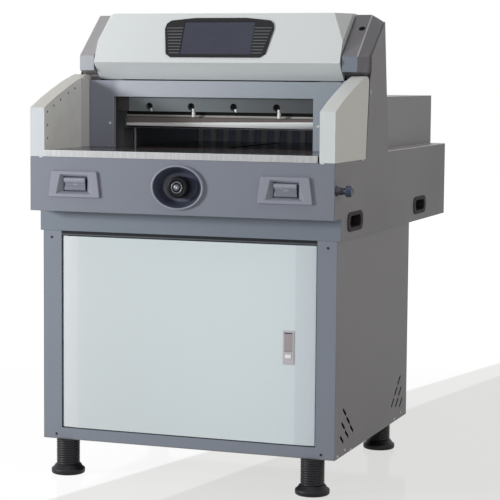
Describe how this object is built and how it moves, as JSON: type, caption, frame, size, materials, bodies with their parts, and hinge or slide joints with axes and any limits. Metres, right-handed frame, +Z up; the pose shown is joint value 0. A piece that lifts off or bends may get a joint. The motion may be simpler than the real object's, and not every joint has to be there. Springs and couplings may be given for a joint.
{
  "type": "electric paper cutter",
  "caption": "Free-standing electric paper cutter: clamp and slanting knife under a hinged hood, table with a screw-driven back gauge, two cut buttons, and a stand with a door.",
  "frame": {"origin": "on the floor, at the centre of the four feet", "axes": "+X to the right of someone in front, +Y into the depth, +Z up"},
  "size_m": [0.841, 1.108, 1.181],
  "materials": {
    "foot_black": "black paint on a casting",
    "black_plastic": "fine matt moulding",
    "machine_grey": "smooth satin paint",
    "panel_grey": "smooth satin paint",
    "cover_white": "smooth satin paint",
    "shoulder_grey": "satin paint",
    "bowl_grey": "fine matt moulding",
    "button_face": "smooth moulding",
    "white_plastic": "smooth moulding",
    "black_gloss": "smooth moulding",
    "bright_trim": "polished",
    "panel_dark": "fine matt moulding",
    "screen_glass": "smooth cover over the display",
    "table_steel": "ground and polished",
    "fence_steel": "ground",
    "blade_steel": "ground",
    "shaft_steel": "turned",
    "carrier_green": "satin paint on steel",
    "cast_grey": "painted casting",
    "gauge_alloy": "milled",
    "stick_red": "solid plastic bar",
    "lens_strip": "strip with small lenses",
    "drive_dark": "satin paint",
    "box_beige": "satin paint"
  },
  "bodies": {
    "frame": {"cabinet_floor": "machine_grey", "cabinet_side_left": "machine_grey", "cabinet_side_right": "machine_grey", "cabinet_back": "machine_grey", "door_frame": "panel_grey", "body_side_left": "machine_grey", "body_side_right": "machine_grey", "front_panel": "panel_grey", "base_pan": "machine_grey", "body_back": "machine_grey", "rear_cover": "machine_grey", "grip_cups": "black_plastic", "side_frame_left": "cast_grey", "side_frame_right": "cast_grey", "cutting_table": "table_steel", "cutting_stick": "stick_red", "side_fences": "fence_steel", "bridge_beam": "cast_grey", "front_fascia": "panel_grey", "shoulder_left": "shoulder_grey", "shoulder_right": "shoulder_grey", "upper_back": "machine_grey", "hinge_leaves": "shaft_steel", "guard_left": "cover_white", "guard_right": "cover_white", "light_curtains": "lens_strip", "drive_motors": "drive_dark", "dial_bowl": "bowl_grey", "gauge_guides": "shaft_steel", "gauge_motor": "drive_dark", "button_bezels": "bowl_grey", "power_inlet": "black_plastic", "control_box": "box_beige"},
    "foot_front_left": {"levelling_foot_front_left": "foot_black"},
    "foot_front_right": {"levelling_foot_front_right": "foot_black"},
    "foot_rear_left": {"levelling_foot_rear_left": "foot_black"},
    "foot_rear_right": {"levelling_foot_rear_right": "foot_black"},
    "door": {"cabinet_door": "cover_white", "lock_body": "black_plastic"},
    "pull_lever": {"lock_lever": "black_gloss"},
    "release_button": {"lock_button": "white_plastic"},
    "hood_cover": {"hood": "cover_white", "screen_bezel": "panel_dark", "touch_screen": "screen_glass"},
    "key_barrel": {"key_lock": "black_gloss"},
    "clamp": {"clamp_beam": "cast_grey"},
    "clamp_spindle_left": {"clamp_screw_left": "shaft_steel"},
    "clamp_spindle_right": {"clamp_screw_right": "shaft_steel"},
    "knife": {"knife_carrier": "carrier_green", "knife_blade": "blade_steel", "knife_fittings": "shaft_steel"},
    "knife_spindle": {"knife_screw": "shaft_steel"},
    "gauge": {"backgauge": "gauge_alloy", "gauge_carriage": "cast_grey"},
    "gauge_spindle": {"leadscrew": "shaft_steel", "hand_wheel": "black_gloss", "wheel_cap": "bright_trim"},
    "button_left": {"cut_button_left": "button_face"},
    "button_right": {"cut_button_right": "button_face"},
    "turning_knob": {"side_knob": "black_plastic"}
  },
  "joints": [
    {"name": "foot_front_left_screw_out", "type": "slide", "parent": "frame", "child": "foot_front_left", "axis": [0, 0, -1], "range_m": [0, 0.02]},
    {"name": "foot_front_right_screw_out", "type": "slide", "parent": "frame", "child": "foot_front_right", "axis": [0, 0, -1], "range_m": [0, 0.02]},
    {"name": "foot_rear_left_screw_out", "type": "slide", "parent": "frame", "child": "foot_rear_left", "axis": [0, 0, -1], "range_m": [0, 0.02]},
    {"name": "foot_rear_right_screw_out", "type": "slide", "parent": "frame", "child": "foot_rear_right", "axis": [0, 0, -1], "range_m": [0, 0.02]},
    {"name": "door_swing", "type": "hinge", "parent": "frame", "child": "door", "pos_m": [-0.331, -0.308, 0.37], "axis": [0, 0, -1], "range_deg": [0, 100]},
    {"name": "pull_lever_swing", "type": "hinge", "parent": "door", "child": "pull_lever", "pos_m": [0.27, -0.315, 0.392], "axis": [-1, 0, 0], "range_deg": [0, 35]},
    {"name": "release_button_press", "type": "slide", "parent": "door", "child": "release_button", "axis": [0, 1, 0], "range_m": [0, 0.003], "stiffness_N_per_m": 300, "springref_m": -0.002},
    {"name": "hood_swing", "type": "hinge", "parent": "frame", "child": "hood_cover", "pos_m": [0, 0.05, 1.169], "axis": [-1, 0, 0], "range_deg": [0, 75]},
    {"name": "key_turn", "type": "hinge", "parent": "frame", "child": "key_barrel", "pos_m": [0.365, -0.041, 1.14239], "axis": [0, -0.6431, 0.7658], "range_deg": [0, 90]},
    {"name": "clamp_slide", "type": "slide", "parent": "frame", "child": "clamp", "axis": [0, 0, -1], "range_m": [0, 0.0505]},
    {"name": "clamp_spindle_left_turn", "type": "hinge", "parent": "frame", "child": "clamp_spindle_left", "pos_m": [-0.17, -0.058, 0.99], "axis": [0, 0, 1], "range_deg": [0, 1820]},
    {"name": "clamp_spindle_right_turn", "type": "hinge", "parent": "frame", "child": "clamp_spindle_right", "pos_m": [0.17, -0.058, 0.99], "axis": [0, 0, 1], "range_deg": [0, 1820]},
    {"name": "knife_slide", "type": "slide", "parent": "frame", "child": "knife", "axis": [-0.2588, 0, -0.9659], "range_m": [0, 0.0548]},
    {"name": "knife_spindle_turn", "type": "hinge", "parent": "frame", "child": "knife_spindle", "pos_m": [-0.29, -0.071, 0.975], "axis": [0.2588, 0, 0.9659], "range_deg": [0, 990]},
    {"name": "gauge_slide", "type": "slide", "parent": "frame", "child": "gauge", "axis": [0, -1, 0], "range_m": [0, 0.445]},
    {"name": "gauge_spindle_turn", "type": "hinge", "parent": "frame", "child": "gauge_spindle", "pos_m": [0, -0.354, 0.7485], "axis": [0, 1, 0], "range_deg": [0, 8012]},
    {"name": "button_left_press", "type": "slide", "parent": "frame", "child": "button_left", "axis": [0, 1, 0], "range_m": [0, 0.005], "stiffness_N_per_m": 500, "springref_m": -0.003},
    {"name": "button_right_press", "type": "slide", "parent": "frame", "child": "button_right", "axis": [0, 1, 0], "range_m": [0, 0.005], "stiffness_N_per_m": 500, "springref_m": -0.003},
    {"name": "side_knob_turn", "type": "hinge", "parent": "frame", "child": "turning_knob", "pos_m": [0.4, -0.357, 0.75], "axis": [1, 0, 0], "range_deg": [0, 270]}
  ],
  "couplings": [
    {"joint": "clamp_spindle_left_turn", "follows": "clamp_slide", "rad_per_m": 628.32},
    {"joint": "clamp_spindle_right_turn", "follows": "clamp_slide", "rad_per_m": 628.32},
    {"joint": "knife_spindle_turn", "follows": "knife_slide", "rad_per_m": 314.16},
    {"joint": "gauge_spindle_turn", "follows": "gauge_slide", "rad_per_m": 314.16}
  ]
}
